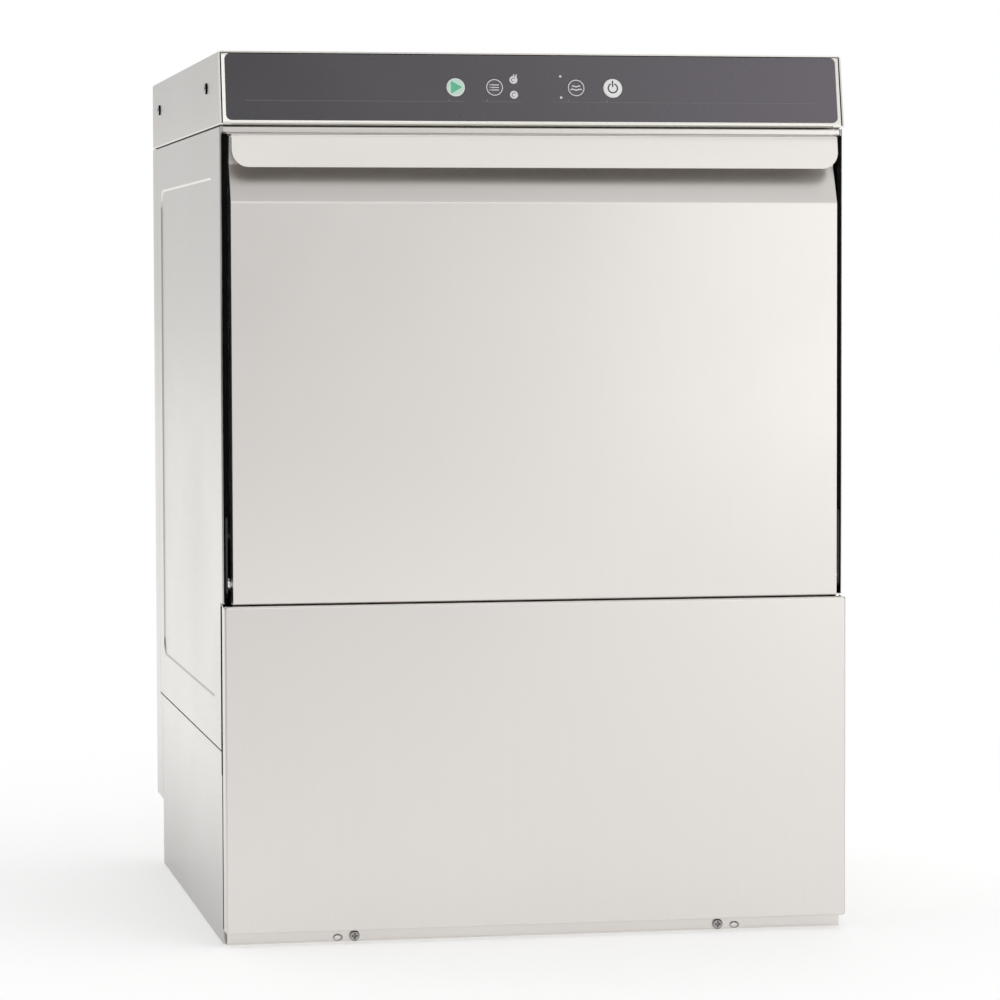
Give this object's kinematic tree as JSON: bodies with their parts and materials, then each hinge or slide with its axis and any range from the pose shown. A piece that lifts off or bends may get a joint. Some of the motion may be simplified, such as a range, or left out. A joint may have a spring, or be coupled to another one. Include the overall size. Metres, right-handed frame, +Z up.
{
  "type": "glass washer machine",
  "caption": "Under-counter commercial glass washer: stainless cabinet, drop-down door with folded handle, tilted key panel, rotating wash and rinse arms.",
  "frame": {"origin": "middle of the footprint on the floor", "axes": "+X to the right as seen from the front, +Y to the rear so the door faces -Y, +Z up"},
  "size_m": [0.6128, 0.6624, 0.851],
  "materials": {
    "stainless_outer": "satin, fine vertical grain",
    "stainless_inner": "satin, slightly duller",
    "zinc_steel": "zinc plated",
    "bright_steel": "bright",
    "black_steel": "black coated steel",
    "overlay": "warm grey film",
    "key_light": "light key cap",
    "key_dark": "grey key cap with a light ring",
    "black_rubber": "matte",
    "black_plastic": "moulded",
    "light_plastic": "moulded",
    "motor_paint": "grey paint",
    "heater_sheath": "heat tinted",
    "circuit_board": "solder mask"
  },
  "bodies": {
    "cabinet": {"base_frame": "stainless_outer", "side_panel_left": "stainless_outer", "side_panel_right": "stainless_outer", "rear_panel": "stainless_outer", "top_cover": "stainless_outer", "control_fascia": "stainless_outer", "fascia_overlay": "overlay", "display_board": "circuit_board", "front_header": "stainless_outer", "front_frame": "stainless_inner", "wash_chamber": "stainless_inner", "tank": "stainless_inner", "door_seal": "black_rubber", "rack_rails": "stainless_inner", "strainer_tray": "stainless_inner", "filter_basket": "stainless_inner", "arm_spindles": "stainless_inner", "arm_caps": "black_plastic", "wash_manifold": "stainless_inner", "rinse_line": "black_rubber", "tank_heater": "heater_sheath", "pump_volute": "light_plastic", "pump_motor": "motor_paint", "suction_elbow": "black_rubber", "boiler": "stainless_inner", "boiler_element": "heater_sheath", "fill_valve": "light_plastic", "drain_pump": "light_plastic", "drain_hose": "black_rubber", "drain_outlet": "light_plastic", "electric_box": "zinc_steel", "cable_gland": "black_plastic", "dosing_unit": "black_plastic", "hinge_brackets": "black_steel", "hinge_pins": "bright_steel", "rod_guides": "zinc_steel", "door_springs": "black_steel", "front_panel": "stainless_outer", "case_screws": "bright_steel", "door_sensor": "black_plastic"},
    "door": {"door_skin": "stainless_outer", "door_liner": "stainless_inner", "door_ribs": "zinc_steel", "door_hinges": "zinc_steel"},
    "lower_wash_arm": {"lower_wash_arm": "stainless_inner"},
    "lower_rinse_arm": {"lower_rinse_arm": "stainless_inner"},
    "upper_wash_arm": {"upper_wash_arm": "stainless_inner"},
    "upper_rinse_arm": {"upper_rinse_arm": "stainless_inner"},
    "key_start": {"key_start": "key_light"},
    "key_program": {"key_program": "key_dark"},
    "key_drain": {"key_drain": "key_dark"},
    "key_power": {"key_power": "key_light"},
    "pump_rotor": {"pump_rotor": "motor_paint"},
    "detergent_rotor": {"detergent_rotor": "light_plastic"},
    "rinse_aid_rotor": {"rinse_aid_rotor": "light_plastic"},
    "foot_front_left": {"foot_front_left": "black_plastic"},
    "foot_front_right": {"foot_front_right": "black_plastic"},
    "foot_rear_left": {"foot_rear_left": "black_plastic"},
    "foot_rear_right": {"foot_rear_right": "black_plastic"},
    "draw_rods": {"draw_rods": "zinc_steel"}
  },
  "joints": [
    {"name": "door_hinge", "type": "hinge", "parent": "cabinet", "child": "door", "pos_m": [0, -0.3047, 0.346], "axis": [1, 0, 0], "range_deg": [0, 90]},
    {"name": "rod_slide", "type": "slide", "parent": "cabinet", "child": "draw_rods", "axis": [0, 0, 1], "range_m": [0, 0.0538], "stiffness_N_per_m": 3000, "deforming": ["door_springs"]},
    {"name": "lower_wash_arm_spin", "type": "hinge", "parent": "cabinet", "child": "lower_wash_arm", "pos_m": [0, -0.01845, 0.3], "axis": [0, 0, 1], "continuous": true},
    {"name": "lower_rinse_arm_spin", "type": "hinge", "parent": "cabinet", "child": "lower_rinse_arm", "pos_m": [0, -0.01845, 0.3], "axis": [0, 0, 1], "continuous": true},
    {"name": "upper_wash_arm_spin", "type": "hinge", "parent": "cabinet", "child": "upper_wash_arm", "pos_m": [0, -0.01845, 0.74], "axis": [0, 0, 1], "continuous": true},
    {"name": "upper_rinse_arm_spin", "type": "hinge", "parent": "cabinet", "child": "upper_rinse_arm", "pos_m": [0, -0.01845, 0.74], "axis": [0, 0, 1], "continuous": true},
    {"name": "key_start_press", "type": "slide", "parent": "cabinet", "child": "key_start", "axis": [0, 0.9792, -0.2028], "range_m": [0, 0.001], "stiffness_N_per_m": 400},
    {"name": "key_program_press", "type": "slide", "parent": "cabinet", "child": "key_program", "axis": [0, 0.9792, -0.2028], "range_m": [0, 0.001], "stiffness_N_per_m": 400},
    {"name": "key_drain_press", "type": "slide", "parent": "cabinet", "child": "key_drain", "axis": [0, 0.9792, -0.2028], "range_m": [0, 0.001], "stiffness_N_per_m": 400},
    {"name": "key_power_press", "type": "slide", "parent": "cabinet", "child": "key_power", "axis": [0, 0.9792, -0.2028], "range_m": [0, 0.001], "stiffness_N_per_m": 400},
    {"name": "pump_rotor_spin", "type": "hinge", "parent": "cabinet", "child": "pump_rotor", "pos_m": [0, -0.06445, 0.11], "axis": [1, 0, 0], "continuous": true},
    {"name": "detergent_rotor_spin", "type": "hinge", "parent": "cabinet", "child": "detergent_rotor", "pos_m": [0.232, -0.2837, 0.08], "axis": [0, 1, 0], "continuous": true},
    {"name": "rinse_aid_rotor_spin", "type": "hinge", "parent": "cabinet", "child": "rinse_aid_rotor", "pos_m": [0.232, -0.2837, 0.14], "axis": [0, 1, 0], "continuous": true},
    {"name": "foot_front_left_level", "type": "slide", "parent": "cabinet", "child": "foot_front_left", "axis": [0, 0, 1], "range_m": [-0.025, 0]},
    {"name": "foot_front_right_level", "type": "slide", "parent": "cabinet", "child": "foot_front_right", "axis": [0, 0, 1], "range_m": [-0.025, 0]},
    {"name": "foot_rear_left_level", "type": "slide", "parent": "cabinet", "child": "foot_rear_left", "axis": [0, 0, 1], "range_m": [-0.025, 0]},
    {"name": "foot_rear_right_level", "type": "slide", "parent": "cabinet", "child": "foot_rear_right", "axis": [0, 0, 1], "range_m": [-0.025, 0]}
  ],
  "couplings": [
    {"joint": "rod_slide", "follows": "door_hinge", "m_per_rad": 0.034212}
  ]
}
